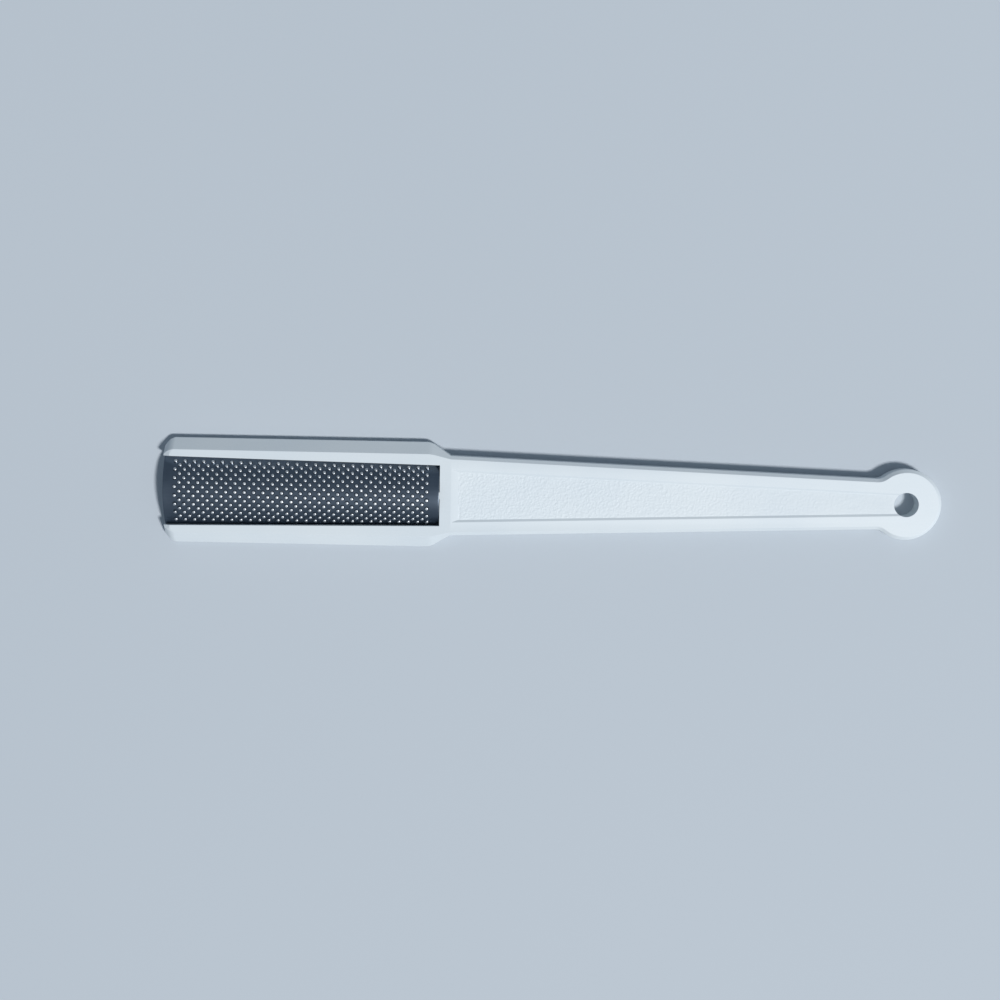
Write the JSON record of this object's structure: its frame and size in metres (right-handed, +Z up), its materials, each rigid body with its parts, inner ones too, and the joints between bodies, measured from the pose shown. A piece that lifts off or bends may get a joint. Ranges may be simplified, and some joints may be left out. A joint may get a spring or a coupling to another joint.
{
  "type": "foot file",
  "caption": "Flat hand file with an open-tipped head that holds a bowed, toothed steel sheet between two rails, a tapering grip with a sunk panel and a hanging ring.",
  "frame": {"origin": "middle of the file's length and width, on its flat back", "axes": "+X from the open tip to the hanging ring, +Z up out of the filing side"},
  "size_m": [0.18, 0.0244, 0.0062],
  "materials": {
    "white_plastic": "white moulded plastic, satin",
    "toothed_steel": "dull dark steel with bright worn tooth tops"
  },
  "bodies": {
    "handle": {"handle": "white_plastic"},
    "file_plate": {"file_plate": "toothed_steel"}
  },
  "joints": [
    {"name": "plate_slide", "type": "slide", "parent": "handle", "child": "file_plate", "axis": [-1, 0, 0], "range_m": [0, 0.066]}
  ]
}
